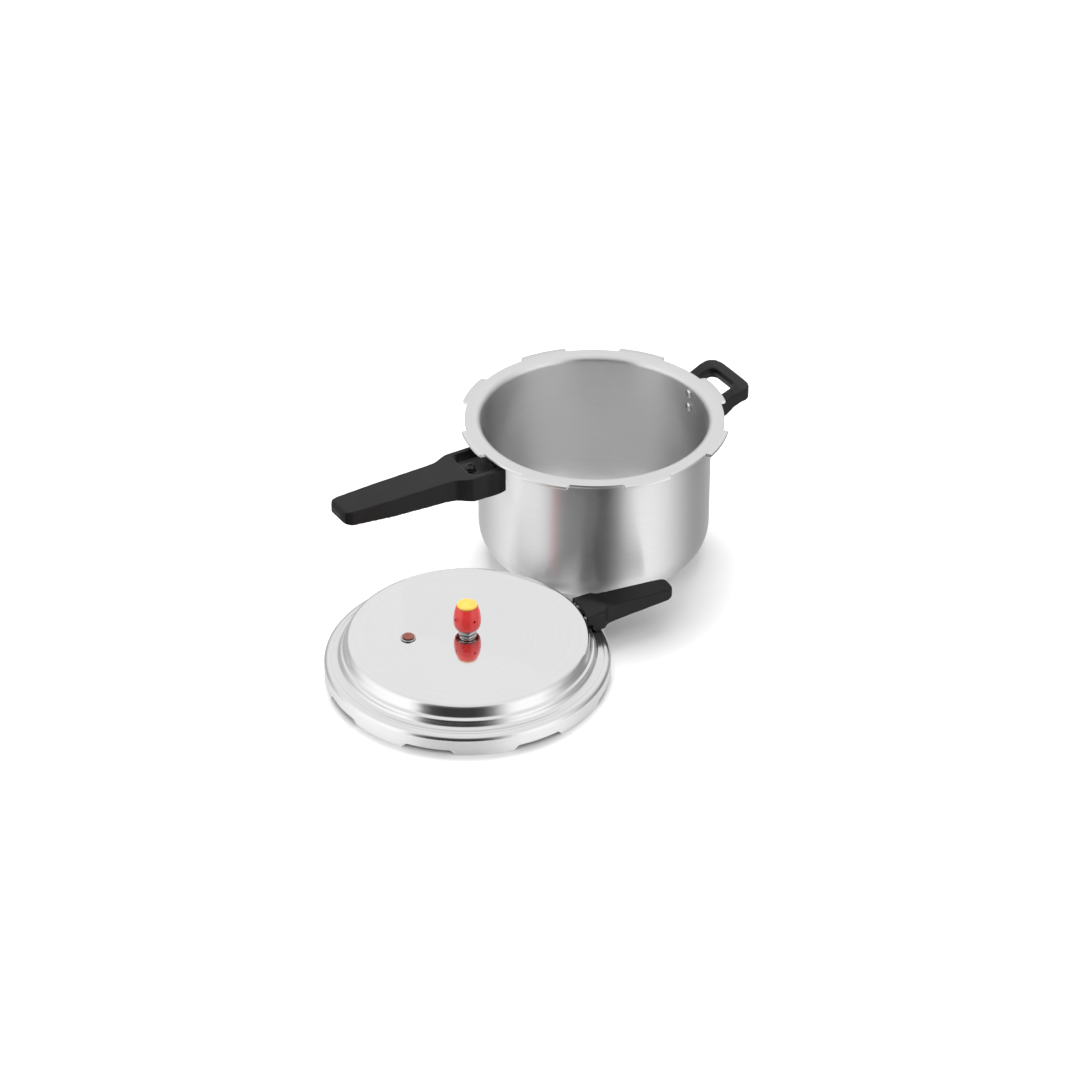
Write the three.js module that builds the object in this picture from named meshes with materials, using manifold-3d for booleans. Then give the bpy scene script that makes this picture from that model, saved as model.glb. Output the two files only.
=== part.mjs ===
// Outer-lid stovetop pressure cooker: pot with a lugged flange, long handle and
// helper handle, and its lid lying dome-up on the same surface beside the pot.
// Millimetres, +Z up. Origin: centre of the underside of the pot's base.
// +X runs towards the helper handle, -X along the long handle.
import * as THREE from "three";
import { mergeVertices } from "three/addons/utils/BufferGeometryUtils.js";
import Module from "manifold-3d";

// ---------------------------------------------------------------- dimensions
const SEG = 48; // facets of a full turn on the large round pieces
const SEG_S = 16; // facets on small round pieces

// pot
const POT_R = 105; // outer radius of the wall
const WALL = 3; // wall and base thickness
const POT_H = 140; // top of the flange
const CORNER_R = 34; // outer radius between base and wall
const LIP_R = 107.5; // where the rounded inner lip meets the flat flange
const FLANGE_R = 116.5; // flange between the lugs
const LUG_R = 121.5; // flange at the lugs
const FLANGE_T = 3; // flange and lug thickness
const LUG_COUNT = 8;
const POT_LUG_DEG = 21; // width of one pot lug
const POT_LUG_PHASE = -9; // degrees, centre of the first lug from +X

// lid, in its own frame: axis on Z, z = 0 at its lowest edge
const SKIRT_R = 125; // outer radius of the skirt
const SKIRT_IN = 122.8; // inner radius of the skirt
const SHOULDER_Z = 17.5; // height of the shoulder above the skirt
const DOME_R = 107; // outer radius of the raised dome
const DOME_EDGE_Z = 36.5;
const CROWN_Z = 41; // top of the dome at the centre
const SHELL_T = 2; // lid wall
const HOOK_IN = 117.8; // inner radius of the lid's inward lugs
const HOOK_DEG = 20; // width of one inward lug
const TAB_DEG = 26; // width of the skirt tab that carries it
const NOTCH_Z = 4.5; // the skirt ends here between the tabs
const HOOK_T = 3;

// where the lid lies, and how it is turned there
const LID_X = -198.4;
const LID_Y = -108.2;
const LID_YAW = -8; // direction of the lid handle, degrees from +X
const LID_LUG_PHASE = 21; // centre of one lid lug, degrees from +X, as it lies

// long handle, along -X
const LH_TIP = 266; // distance of the tip from the pot's axis
const LH_TOP = 132.8; // under the closed lid's skirt
const LH_W_TIP = 30;
const LH_W_GRIP = 35;
const LH_W_ROOT = 49;
const LH_POCKET_R = 139; // far end of the root pocket
const LH_POCKET_Z = 124; // floor of the root pocket
const RELIEF_R = 126; // room for the lid's skirt over the helper handle
const RELIEF_Z = 132.5; // top of that handle inside this radius

// helper handle, along +X
const HH_OUT = 154;
const HH_TOP = 138;
const HH_T = 17;

// fasteners
const RIVET_R = 2.5;
const SCREW_R = 2.4;
const GAP = 0.3; // clearance where two pieces touch

// ---------------------------------------------------------------- helpers
const wasm = await Module();
wasm.setup();
const rad = (d) => (d * Math.PI) / 180;
const v2 = (x, y) => new THREE.Vector2(x, y);

// position-only, merged, no degenerate triangles, faces out
function clean(geometry) {
  const g = geometry.clone();
  for (const k of Object.keys(g.attributes)) if (k !== "position") g.deleteAttribute(k);
  const m = mergeVertices(g, 1e-4);
  const p = m.attributes.position;
  const idx = m.index.array;
  const keep = [];
  let vol = 0;
  const a = new THREE.Vector3(), b = new THREE.Vector3(), c = new THREE.Vector3();
  for (let i = 0; i < idx.length; i += 3) {
    const [i0, i1, i2] = [idx[i], idx[i + 1], idx[i + 2]];
    if (i0 === i1 || i1 === i2 || i0 === i2) continue;
    a.fromBufferAttribute(p, i0);
    b.fromBufferAttribute(p, i1);
    c.fromBufferAttribute(p, i2);
    vol += a.dot(b.clone().cross(c));
    keep.push(i0, i1, i2);
  }
  if (vol < 0) for (let i = 0; i < keep.length; i += 3) [keep[i + 1], keep[i + 2]] = [keep[i + 2], keep[i + 1]];
  const out = new THREE.BufferGeometry();
  out.setAttribute("position", new THREE.BufferAttribute(new Float32Array(p.array), 3));
  out.setIndex(keep);
  return out;
}
function solid(geometry) {
  const g = clean(geometry);
  return new wasm.Manifold(
    new wasm.Mesh({
      numProp: 3,
      vertProperties: new Float32Array(g.attributes.position.array),
      triVerts: new Uint32Array(g.index.array),
    })
  );
}
function geom(manifold) {
  const m = manifold.getMesh();
  const n = m.numProp;
  const pos = new Float32Array((m.vertProperties.length / n) * 3);
  for (let i = 0; i < pos.length / 3; i++)
    for (let k = 0; k < 3; k++) pos[i * 3 + k] = m.vertProperties[i * n + k];
  const g = new THREE.BufferGeometry();
  g.setAttribute("position", new THREE.BufferAttribute(pos, 3));
  g.setIndex(Array.from(m.triVerts));
  g.computeVertexNormals();
  return g;
}
// body of revolution about Z from an [r, z] profile
function lathe(profile, seg = SEG) {
  const g = new THREE.LatheGeometry(profile.map(([r, z]) => v2(r, z)), seg);
  g.rotateX(Math.PI / 2);
  return solid(g);
}
const ring = (profile, seg = SEG) => lathe([...profile, profile[0]], seg);
// cylinder about Z
function rod(r, z0, z1, seg = SEG_S) {
  const g = new THREE.CylinderGeometry(r, r, z1 - z0, seg);
  g.rotateX(Math.PI / 2);
  g.translate(0, 0, (z0 + z1) / 2);
  return solid(g);
}
function box(x0, x1, y0, y1, z0, z1) {
  const g = new THREE.BoxGeometry(x1 - x0, y1 - y0, z1 - z0);
  g.translate((x0 + x1) / 2, (y0 + y1) / 2, (z0 + z1) / 2);
  return solid(g);
}
// plan outline [x, y] raised from z0 to z1, with an optional bevel kept inside
function plan(points, z0, z1, bevel = 0) {
  const s = new THREE.Shape(points.map(([x, y]) => v2(x, y)));
  const g = new THREE.ExtrudeGeometry(s, {
    depth: z1 - z0 - 2 * bevel,
    bevelEnabled: bevel > 0,
    bevelThickness: bevel,
    bevelSize: bevel,
    bevelOffset: -bevel,
    bevelSegments: 2,
    curveSegments: 6,
  });
  g.translate(0, 0, z0 + bevel);
  return solid(g);
}
// side outline [x, z] run from y0 to y1
function side(points, y0, y1) {
  const s = new THREE.Shape(points.map(([x, z]) => v2(x, z)));
  const g = new THREE.ExtrudeGeometry(s, { depth: y1 - y0, bevelEnabled: false });
  g.rotateX(Math.PI / 2); // shape y -> z, depth -> -y
  g.translate(0, y1, 0);
  return solid(g);
}
// sector of a ring, centred on angle c, w degrees wide
function sector(r0, r1, c, w, z0, z1, n = 6) {
  const pts = [];
  for (let i = 0; i <= n; i++) {
    const a = rad(c - w / 2 + (w * i) / n);
    pts.push([r1 * Math.cos(a), r1 * Math.sin(a)]);
  }
  for (let i = n; i >= 0; i--) {
    const a = rad(c - w / 2 + (w * i) / n);
    pts.push([r0 * Math.cos(a), r0 * Math.sin(a)]);
  }
  return plan(pts, z0, z1);
}
function arc(cx, cy, r, a0, a1, n) {
  const out = [];
  for (let i = 0; i <= n; i++) {
    const a = rad(a0 + ((a1 - a0) * i) / n);
    out.push([cx + r * Math.cos(a), cy + r * Math.sin(a)]);
  }
  return out;
}
const turned = (s, z) => s.rotate([0, 0, z]);
// a Z-axis solid laid along +X: its z becomes x
const alongX = (s) => s.rotate([0, 90, 0]);
const union = (list) => list.reduce((a, b) => a.add(b));

const root = new THREE.Group();
const lidGroup = new THREE.Group();
lidGroup.position.set(LID_X, LID_Y, 0);
root.add(lidGroup);
function add(group, name, manifold, color, roughness, metalness) {
  const mesh = new THREE.Mesh(geom(manifold), new THREE.MeshStandardMaterial({ color, roughness, metalness }));
  mesh.name = name;
  group.add(mesh);
  return mesh;
}
const ALU = [0xc9cbcc, 0.3, 1];
const STEEL = [0xb9bcbf, 0.35, 1];
const BLACKENED = [0x2b2c2e, 0.5, 1];
const BLACK = [0x1d1e20, 0.45, 0];

// ---------------------------------------------------------------- pot body
const inR = POT_R - WALL;
let pot = lathe([
  [0, 0],
  ...arc(POT_R - CORNER_R, CORNER_R, CORNER_R, -90, 0, 5),
  [POT_R, POT_H - 4.5],
  [POT_R + 1.5, POT_H - FLANGE_T],
  [FLANGE_R, POT_H - FLANGE_T],
  [FLANGE_R, POT_H],
  [LIP_R, POT_H],
  [inR + 2, POT_H - 1.6],
  [inR, POT_H - 5.5],
  ...arc(POT_R - CORNER_R, CORNER_R, CORNER_R - WALL, 0, -90, 5),
  [66, WALL],
  [65, WALL + 0.8],
  [0, WALL + 0.8],
]);
for (let k = 0; k < LUG_COUNT; k++)
  pot = pot.add(
    sector(FLANGE_R - 1.5, LUG_R, POT_LUG_PHASE + (k * 360) / LUG_COUNT, POT_LUG_DEG, POT_H - FLANGE_T, POT_H, 4)
  );

// rivet along +X through the wall at height z: head inside, tail outside
const rivet = (x0, x1, headR = 4.2) =>
  alongX(
    lathe(
      [
        [0, x0 - 1.9],
        [headR * 0.62, x0 - 1.7],
        [headR, x0 - 0.4],
        [headR, x0],
        [RIVET_R, x0],
        [RIVET_R, x1],
        [3.2, x1],
        [3.2, x1 + 0.6],
        [2, x1 + 1.3],
        [0, x1 + 1.3],
      ],
      SEG_S / 2
    )
  );
const RIVET_Z = [116.5, 130.4];
const rivetHole = (z) => alongX(rod(RIVET_R + GAP, 90, 112, SEG_S / 2)).translate([0, 0, z]);
for (const z of RIVET_Z) {
  pot = pot.subtract(rivetHole(z)).subtract(turned(rivetHole(z), 180));
}
add(root, "pot_body", pot, ...ALU);

// the head sits against the inner wall; the facets there bow in slightly
const headX = inR * Math.cos(Math.PI / SEG) - 0.35;
const PLATE_IN = POT_R + 0.3;
const PLATE_OUT = PLATE_IN + 2.5;
for (const [tag, az] of [["helper", 0], ["long_handle", 180]])
  RIVET_Z.forEach((z, i) =>
    add(
      root,
      `${tag}_rivet_${i ? "upper" : "lower"}`,
      turned(rivet(headX, PLATE_OUT + 0.45).translate([0, 0, z]), az),
      ...ALU
    )
  );

// ---------------------------------------------------------------- long handle (built along +X, turned to -X)
const plateHole = (z, r = RIVET_R + GAP) => alongX(rod(r, 100, 112, SEG_S / 2)).translate([0, 0, z]);
const LH_SCREW_X = 130;
let lhBracket = sector(PLATE_IN, PLATE_OUT, 0, 14, 111.5, 134.8, 6).add(
  box(PLATE_OUT - 1.2, 135.5, -11, 11, LH_POCKET_Z + GAP, LH_POCKET_Z + GAP + 2.4)
);
for (const z of RIVET_Z) lhBracket = lhBracket.subtract(plateHole(z));
lhBracket = lhBracket.subtract(rod(SCREW_R + GAP, 120, 130, 12).translate([LH_SCREW_X, 0, 0]));
add(root, "long_handle_bracket", turned(lhBracket, 180), ...BLACKENED);

const half = (pts) => [...pts, ...pts.slice().reverse().map(([x, y]) => [x, -y])];
const lhPlan = half([
  [107, LH_W_ROOT / 2 - 1],
  [114, LH_W_ROOT / 2],
  [141, LH_W_ROOT / 2],
  [147, LH_W_ROOT / 2 - 2.2],
  [155, LH_W_GRIP / 2 + 0.8],
  [165, LH_W_GRIP / 2],
  [220, (LH_W_GRIP + LH_W_TIP) / 4 + 0.4],
  [LH_TIP - 9, LH_W_TIP / 2],
  [LH_TIP - 3, LH_W_TIP / 2 - 2],
  [LH_TIP, LH_W_TIP / 2 - 7],
]);
const lhSide = [
  [104, LH_TOP],
  [104, 109.2],
  [118, 108.6],
  [140, 109.3],
  [152, 111.5],
  [165, 112.8],
  [215, 115.3],
  [LH_TIP - 8, 119],
  [LH_TIP - 2, 121.5],
  [LH_TIP + 1, 126],
  [LH_TIP + 1, 130],
  [LH_TIP - 4, LH_TOP],
];
let lh = plan(lhPlan, 105, LH_TOP, 1.6).intersect(side(lhSide, -40, 40));
// pocket behind the flange, open on top and towards the pot
lh = lh.subtract(
  plan(
    half([[100, 19.5], [LH_POCKET_R - 6, 19.5], [LH_POCKET_R - 1.5, 17.5], [LH_POCKET_R, 13]]),
    LH_POCKET_Z,
    150
  )
);
// clear of the wall and the bracket
lh = lh.subtract(rod(POT_R + 0.6, 100, 150, SEG));
lh = lh.subtract(sector(PLATE_IN - 1, PLATE_OUT + 2.6, 0, 15.4, 110.9, 150, 4));
lh = lh.subtract(rod(SCREW_R + GAP, 117, 128, 12).translate([LH_SCREW_X, 0, 0]));
add(root, "long_handle", turned(lh, 180), ...BLACK);

// pan-head screw, its axis on Z, head up
function screw(zSeat, zTip, headR, headH) {
  let s = lathe(
    [
      [0, zTip],
      [SCREW_R - 0.8, zTip],
      [SCREW_R, zTip + 1],
      [SCREW_R, zSeat],
      [headR, zSeat],
      [headR, zSeat + headH * 0.6],
      [headR - 1, zSeat + headH],
      [0, zSeat + headH],
    ],
    SEG_S / 2
  );
  const c = 0.5;
  s = s.subtract(box(-headR * 0.6, headR * 0.6, -c, c, zSeat + headH - 1.2, zSeat + headH + 1));
  return s.subtract(box(-c, c, -headR * 0.6, headR * 0.6, zSeat + headH - 1.2, zSeat + headH + 1));
}
const washer = (r, z0, z1) => ring([[SCREW_R + GAP, z0], [r, z0], [r, z1], [SCREW_R + GAP, z1]], SEG_S / 2);
const lhSeat = LH_POCKET_Z + GAP + 2.4 + GAP;
add(root, "long_handle_washer", washer(5.6, lhSeat, lhSeat + 1).translate([-LH_SCREW_X, 0, 0]), ...BLACKENED);
add(root, "long_handle_screw", screw(lhSeat + 1 + GAP, 117.6, 4.6, 2.8).translate([-LH_SCREW_X, 0, 0]), ...BLACKENED);

// ---------------------------------------------------------------- helper handle (+X)
const HH_SCREW_Z = 123.45;
let hhBracket = sector(PLATE_IN, PLATE_OUT, 0, 12, 111.5, 134.8, 6);
for (const z of RIVET_Z) hhBracket = hhBracket.subtract(plateHole(z));
hhBracket = hhBracket.subtract(plateHole(HH_SCREW_Z, SCREW_R + GAP));
add(root, "helper_bracket", hhBracket, ...STEEL);

const hhPlan = half([
  [104, 28.5],
  [118, 29.5],
  [136, 31.3],
  [143.5, 31],
  [149, 27.5],
  [152.5, 19],
  [HH_OUT, 8],
]);
const hhHole = half([
  [116.5, 18.5],
  [132, 19],
  [137.5, 18.5],
  [140.5, 14.5],
]);
// the same opening where it flares out towards the fingertips
const hhFlare = half([
  [116.5, 24],
  [134, 25.5],
  [143.5, 24.5],
  [148.5, 17],
]);
// arms climb from under the flange; underside arched between the root and the outer bar
const hhSide = [
  [102, 135.6],
  [102, 112],
  [114, 112.5],
  [120, 114.5],
  [126, 118.5],
  [131, 123],
  [138, 126],
  [146, 126.2],
  [152.5, 126.6],
  [155, 129],
  [155, 134.5],
  [151, HH_TOP],
  [141, HH_TOP],
  [133, 136],
  [124, 132.6],
  [118, 131],
  [112.5, 135.6],
];
let hh = plan(hhPlan, 108, HH_TOP, 2).intersect(side(hhSide, -40, 40));
hh = hh.subtract(plan(hhHole, 90, 150));
hh = hh.subtract(
  wasm.Manifold.hull([
    ...hhHole.map(([x, y]) => [x, y, Math.min(133, 126 + (x - 119) / 3)]),
    ...hhFlare.map(([x, y]) => [x, y, 110]),
  ])
);
hh = hh.subtract(rod(POT_R + 0.6, 100, 150, SEG));
hh = hh.subtract(rod(RELIEF_R, RELIEF_Z, 150, SEG));
hh = hh.subtract(sector(PLATE_IN - 1, PLATE_OUT + 2.4, 0, 13.4, 110.9, 150, 4));
hh = hh.subtract(alongX(rod(SCREW_R + GAP, 100, 130, 12)).translate([0, 0, HH_SCREW_Z]));
add(root, "helper_handle", hh, ...BLACK);
const hhSeat = 116.5 + GAP;
add(root, "helper_washer", alongX(washer(5.2, hhSeat, hhSeat + 0.9)).translate([0, 0, HH_SCREW_Z]), ...STEEL);
add(
  root,
  "helper_screw",
  alongX(screw(hhSeat + 0.9 + GAP, PLATE_IN + 0.4, 4.3, 2.4)).translate([0, 0, HH_SCREW_Z]),
  ...STEEL
);

// ---------------------------------------------------------------- lid shell
const domeAt = (r) => CROWN_Z - ((CROWN_Z - DOME_EDGE_Z - 1.5) * (r * r)) / (DOME_R * DOME_R); // gentle crown
let lid = lathe([
  [0, CROWN_Z],
  [50, domeAt(50)],
  [85, domeAt(85)],
  [102, domeAt(102)],
  [105.6, DOME_EDGE_Z],
  [DOME_R, DOME_EDGE_Z - 3],
  [DOME_R + 1, 27.5],
  [110.5, 26],
  [111.5, 21.5],
  [115, 19],
  [121, 18.6],
  [124, SHOULDER_Z],
  [SKIRT_R, SHOULDER_Z - 3],
  [SKIRT_R, NOTCH_Z],
  [SKIRT_IN, NOTCH_Z],
  [SKIRT_IN, SHOULDER_Z - 3],
  [121, 16.6],
  [113, 16.6],
  [109, 20.5],
  [108, 24.5],
  [DOME_R - 1.2, 26.5],
  [DOME_R - 2.2, DOME_EDGE_Z - 3],
  [101, domeAt(101) - SHELL_T],
  [50, domeAt(50) - SHELL_T],
  [0, CROWN_Z - SHELL_T],
]);
for (let k = 0; k < LUG_COUNT; k++) {
  const c = LID_LUG_PHASE + (k * 360) / LUG_COUNT;
  // tab: sloped ends, reaching the lowest edge
  lid = lid.add(sector(SKIRT_IN, SKIRT_R, c, TAB_DEG, 1.6, NOTCH_Z + 0.5, 4));
  lid = lid.add(sector(SKIRT_IN, SKIRT_R, c, TAB_DEG - 2.4, 0, NOTCH_Z + 0.5, 4));
  lid = lid.add(sector(HOOK_IN, SKIRT_IN + 0.6, c, HOOK_DEG, 0, HOOK_T, 4));
}
// holes: vent at the centre, safety plug, handle rivets
const VENT_HOLE_R = 5.3;
const PLUG_R = 51.8;
const PLUG_DEG = 158;
const PLUG_HOLE_R = 5.6;
const plugX = PLUG_R * Math.cos(rad(PLUG_DEG));
const plugY = PLUG_R * Math.sin(rad(PLUG_DEG));
lid = lid.subtract(rod(VENT_HOLE_R, 30, 50));
lid = lid.subtract(rod(PLUG_HOLE_R, 30, 50).translate([plugX, plugY, 0]));
const LID_RIVET_DEG = 5;
const LID_RIVET_Z = 30.5;
const lidRivetHole = (r = 2.1) => alongX(rod(r, 100, 116, 12)).translate([0, 0, LID_RIVET_Z]);
for (const s of [-1, 1]) lid = lid.subtract(turned(lidRivetHole(), LID_YAW + s * LID_RIVET_DEG));
add(lidGroup, "lid_shell", lid, 0xd4d6d7, 0.15, 1);

// ---------------------------------------------------------------- gasket: rests under the shoulder, inside the skirt
const gasket = ring([
  [109.8, 7],
  [118.5, 7],
  [120.4, 9],
  [120.4, 16.2],
  [113.6, 16.2],
  [113.2, 12],
  [109.8, 9.4],
]);
add(lidGroup, "lid_gasket", gasket, 0x3a3a3a, 0.8, 0);

// ---------------------------------------------------------------- lid handle (built along +X, turned to the yaw)
const LH2_TIP = 194.5;
const L2_TOP = 39; // little above the edge of the dome
const LH2_SCREW_X = 120.5;
const LB_IN = DOME_R + 1.5;
const LB_Z = 28.7;
const lidHandleRivetX = 104.1; // seat of the rivet heads, inside the wall
let lb = sector(LB_IN, LB_IN + 2, 0, 13.6, LB_Z, 34.6, 6).add(box(LB_IN + 0.8, 127, -6, 6, LB_Z, LB_Z + 2.2));
for (const s of [-1, 1]) lb = lb.subtract(turned(lidRivetHole(), s * LID_RIVET_DEG));
lb = lb.subtract(rod(SCREW_R + GAP, 20, 40, 12).translate([LH2_SCREW_X, 0, 0]));
add(lidGroup, "lid_handle_bracket", turned(lb, LID_YAW), ...STEEL);
const lidRivet = alongX(
  lathe(
    [
      [0, lidHandleRivetX - 1.7],
      [2.2, lidHandleRivetX - 1.5],
      [3.4, lidHandleRivetX - 0.3],
      [3.4, lidHandleRivetX],
      [1.8, lidHandleRivetX],
      [1.8, LB_IN + 2.3],
      [2.9, LB_IN + 2.3],
      [2.7, LB_IN + 3.3],
      [0, LB_IN + 3.6],
    ],
    SEG_S / 2
  )
).translate([0, 0, LID_RIVET_Z]);
add(lidGroup, "lid_rivet_left", turned(lidRivet, LID_YAW + LID_RIVET_DEG), ...ALU);
add(lidGroup, "lid_rivet_right", turned(lidRivet, LID_YAW - LID_RIVET_DEG), ...ALU);

const l2Plan = half([
  [106, 17],
  [116, 16.4],
  [124, 15.8],
  [129, 11.8],
  [136, 11.2],
  [150, 10.8],
  [180, 10],
  [LH2_TIP - 5, 9.5],
  [LH2_TIP - 1.2, 7.5],
  [LH2_TIP, 4],
]);
const l2Side = [
  [105, 36.4],
  [105, 27.3],
  [112.3, 27.3],
  [112.3, 22],
  [115.3, 19.7],
  [126, 19.5],
  [130, 20.8],
  [150, 23.6],
  [LH2_TIP - 6, 28],
  [LH2_TIP - 1.5, 29.5],
  [LH2_TIP + 1, 32],
  [LH2_TIP + 1, 37.2],
  [LH2_TIP - 2, L2_TOP],
  [132, L2_TOP],
  [121, 38.1],
  [112, 36.8],
];
let l2 = plan(l2Plan, 17.9, L2_TOP, 1.4).intersect(side(l2Side, -40, 40));
l2 = l2.subtract(rod(DOME_R + 1.4, 20, 60, SEG));
l2 = l2.subtract(sector(LB_IN - 1, LB_IN + 4.4, 0, 15, 15, 35.1, 4));
l2 = l2.subtract(box(105, 127.6, -6.5, 6.5, 15, LB_Z + 2.2 + GAP));
l2 = l2.subtract(rod(SCREW_R + GAP, 20, 36, 12).translate([LH2_SCREW_X, 0, 0]));
add(lidGroup, "lid_handle", turned(l2, LID_YAW), ...BLACK);
// fastened from below, through the bracket's tongue
const lsX = LH2_SCREW_X * Math.cos(rad(LID_YAW));
const lsY = LH2_SCREW_X * Math.sin(rad(LID_YAW));
add(lidGroup, "lid_handle_washer", washer(5, LB_Z - GAP - 0.9, LB_Z - GAP).translate([lsX, lsY, 0]), ...STEEL);
add(
  lidGroup,
  "lid_handle_screw",
  screw(0, -8.2, 4.2, 2.2).rotate([180, 0, 0]).translate([lsX, lsY, LB_Z - 2 * GAP - 0.9]),
  ...STEEL
);

// ---------------------------------------------------------------- steam vent, on the lid's axis
const NOZZLE_Z = 52;
const ventPipe = ring(
  [
    [1.3, 34],
    [9, 34],
    [9, 37],
    [4.9, 37],
    [4.9, 44.3],
    [3.7, 45],
    [3.2, 46.5],
    [2.9, NOZZLE_Z - 0.8],
    [2.4, NOZZLE_Z],
    [1.6, NOZZLE_Z],
    [1.3, NOZZLE_Z - 0.6],
  ],
  SEG_S
);
add(lidGroup, "vent_pipe", ventPipe, 0xc2a15a, 0.35, 1);
add(lidGroup, "vent_washer", ring([[5.2, 37.3], [9.4, 37.3], [9.4, 38.7], [5.2, 38.7]], SEG_S), 0x2b2b2b, 0.8, 0);
const hex = [];
for (let i = 0; i < 6; i++) hex.push([8.4 * Math.cos(rad(60 * i + 10)), 8.4 * Math.sin(rad(60 * i + 10))]);
add(lidGroup, "vent_nut", plan(hex, 41.4, 44.2, 0.5).subtract(rod(5.2, 40, 50)), ...STEEL);
// strainer cup under the lid that keeps food out of the vent
let screen = lathe([[0, 28], [8.2, 28], [8.6, 28.6], [8.6, 33.7], [7.6, 33.7], [7.6, 29], [0, 29]], SEG_S);
for (let i = 0; i < 6; i++)
  screen = screen.subtract(rod(1.1, 26, 30, 8).translate([4.6 * Math.cos(rad(60 * i)), 4.6 * Math.sin(rad(60 * i)), 0]));
screen = screen.subtract(rod(1.1, 26, 30, 8));
add(lidGroup, "vent_strainer", screen, ...STEEL);

// ball that closes the nozzle, inside the weight
const BALL_R = 3.6;
const BALL_Z = NOZZLE_Z + BALL_R + 0.1;
const ball = solid(new THREE.SphereGeometry(BALL_R, 16, 10).rotateX(Math.PI / 2)).translate([0, 0, BALL_Z]);
add(lidGroup, "vent_ball", ball, ...STEEL);

// ---------------------------------------------------------------- pressure weight
add(
  lidGroup,
  "weight_core",
  lathe(
    [
      [4.3, 45.2],
      [6.4, 45.2],
      [7, 45.8],
      [7, 49.6],
      [9.5, 50.6],
      [9.5, 60.4],
      [7.6, 66],
      [0, 66],
      [0, 61],
      [4.3, 61],
      [4.3, 45.2],
    ],
    SEG_S
  ),
  ...STEEL
);
let cover = ring(
  [
    [9.9, 47.4],
    [11, 47],
    [12, 51],
    [12.1, 56],
    [11.3, 62],
    [9.4, 68.2],
    [7.9, 68.2],
    [7.9, 66.2],
    [9.9, 60.4],
  ],
  SEG_S
);
for (let k = 0; k < 4; k++)
  cover = cover.subtract(alongX(rod(1.2, 9, 14, 10)).translate([0, 0, 57.6]).rotate([0, 0, 2 + 90 * k]));
add(lidGroup, "weight_cover", cover, 0xc8262a, 0.35, 0);
add(
  lidGroup,
  "weight_cap",
  lathe([[0, 66.4], [7.5, 66.4], [7.5, 68.5], [9, 68.5], [9, 69.5], [8.4, 70.2], [0, 70.5]], SEG_S),
  0xe9c23a,
  0.4,
  0
);

// ---------------------------------------------------------------- safety plug in its seat
add(
  lidGroup,
  "plug_seat",
  ring([[4.2, 36.9], [5.3, 36.9], [5.3, 40.8], [6.7, 40.8], [6.7, 41.3], [6.3, 41.6], [4.2, 41.6]], SEG_S).translate([
    plugX,
    plugY,
    0,
  ]),
  ...STEEL
);
add(
  lidGroup,
  "safety_plug",
  lathe(
    [[0, 35.8], [3.5, 35.8], [3.9, 36.4], [3.9, 41.9], [5.2, 41.9], [5.3, 42.4], [4.7, 43], [0, 43.2]],
    SEG_S
  ).translate([plugX, plugY, 0]),
  0x8c3b2e,
  0.6,
  0
);

export default root;
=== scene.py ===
import math

import bmesh
import bpy
import numpy as np
from mathutils import Matrix, Vector


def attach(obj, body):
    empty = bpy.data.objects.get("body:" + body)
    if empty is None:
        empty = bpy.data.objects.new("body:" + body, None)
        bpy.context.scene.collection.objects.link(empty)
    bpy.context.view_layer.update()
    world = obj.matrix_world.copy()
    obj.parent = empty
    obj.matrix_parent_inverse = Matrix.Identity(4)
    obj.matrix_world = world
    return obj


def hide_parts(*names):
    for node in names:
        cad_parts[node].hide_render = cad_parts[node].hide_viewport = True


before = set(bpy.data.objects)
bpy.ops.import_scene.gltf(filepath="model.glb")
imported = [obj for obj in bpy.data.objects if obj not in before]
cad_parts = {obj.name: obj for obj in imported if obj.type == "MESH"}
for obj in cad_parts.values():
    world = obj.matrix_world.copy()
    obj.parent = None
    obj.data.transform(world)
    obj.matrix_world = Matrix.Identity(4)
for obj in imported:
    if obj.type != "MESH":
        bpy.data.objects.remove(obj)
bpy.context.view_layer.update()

# ------------------------------------------------------------------ sizes, mm (the same as the CAD)
LID_X, LID_Y, YAW = -198.4, -108.2, -8.0
POT_R, WALL, POT_H, CORNER_R = 105.0, 3.0, 140.0, 34.0
LIP_R, FLANGE_R, LUG_R, FLANGE_T = 107.5, 116.5, 121.5, 3.0
IN_R = POT_R - WALL
RELIEF_R, RELIEF_Z = 126.0, 132.5
SKIRT_R, SKIRT_IN, SHOULDER_Z = 125.0, 122.8, 17.5
DOME_R, DOME_EDGE_Z, CROWN_Z = 107.0, 36.5, 41.0
HOOK_IN, NOTCH_Z, HOOK_T = 117.8, 4.5, 3.0
RIVET_Z = (116.5, 130.4)
HH_SCREW_Z = 123.45
LH_SCREW_X = 130.0
LH_TOP, HH_TOP, L2_TOP = 132.8, 138.0, 39.0
LID_RIVET_Z = 30.5
MM = 0.001

scene = bpy.context.scene
ROOT = bpy.context.scene.collection
rad = math.radians


# ------------------------------------------------------------------ mesh helpers (all in mm, then metres)
def link(name, me):
    ob = bpy.data.objects.new(name, me)
    ROOT.objects.link(ob)
    return ob


def mesh_from(name, verts, faces, sharp=32.0):
    me = bpy.data.meshes.new(name)
    me.from_pydata([tuple(v) for v in np.asarray(verts, float) * MM], [], [tuple(f) for f in faces])
    me.update()
    bm = bmesh.new()
    bm.from_mesh(me)
    bmesh.ops.remove_doubles(bm, verts=bm.verts, dist=1e-7)
    bmesh.ops.dissolve_degenerate(bm, dist=1e-8, edges=bm.edges)
    bmesh.ops.recalc_face_normals(bm, faces=bm.faces)
    bm.to_mesh(me)
    bm.free()
    smooth(me, sharp)
    return link(name, me)


def smooth(me, sharp=32.0):
    me.polygons.foreach_set("use_smooth", [True] * len(me.polygons))
    me.set_sharp_from_angle(angle=rad(sharp))
    me.update()


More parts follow.
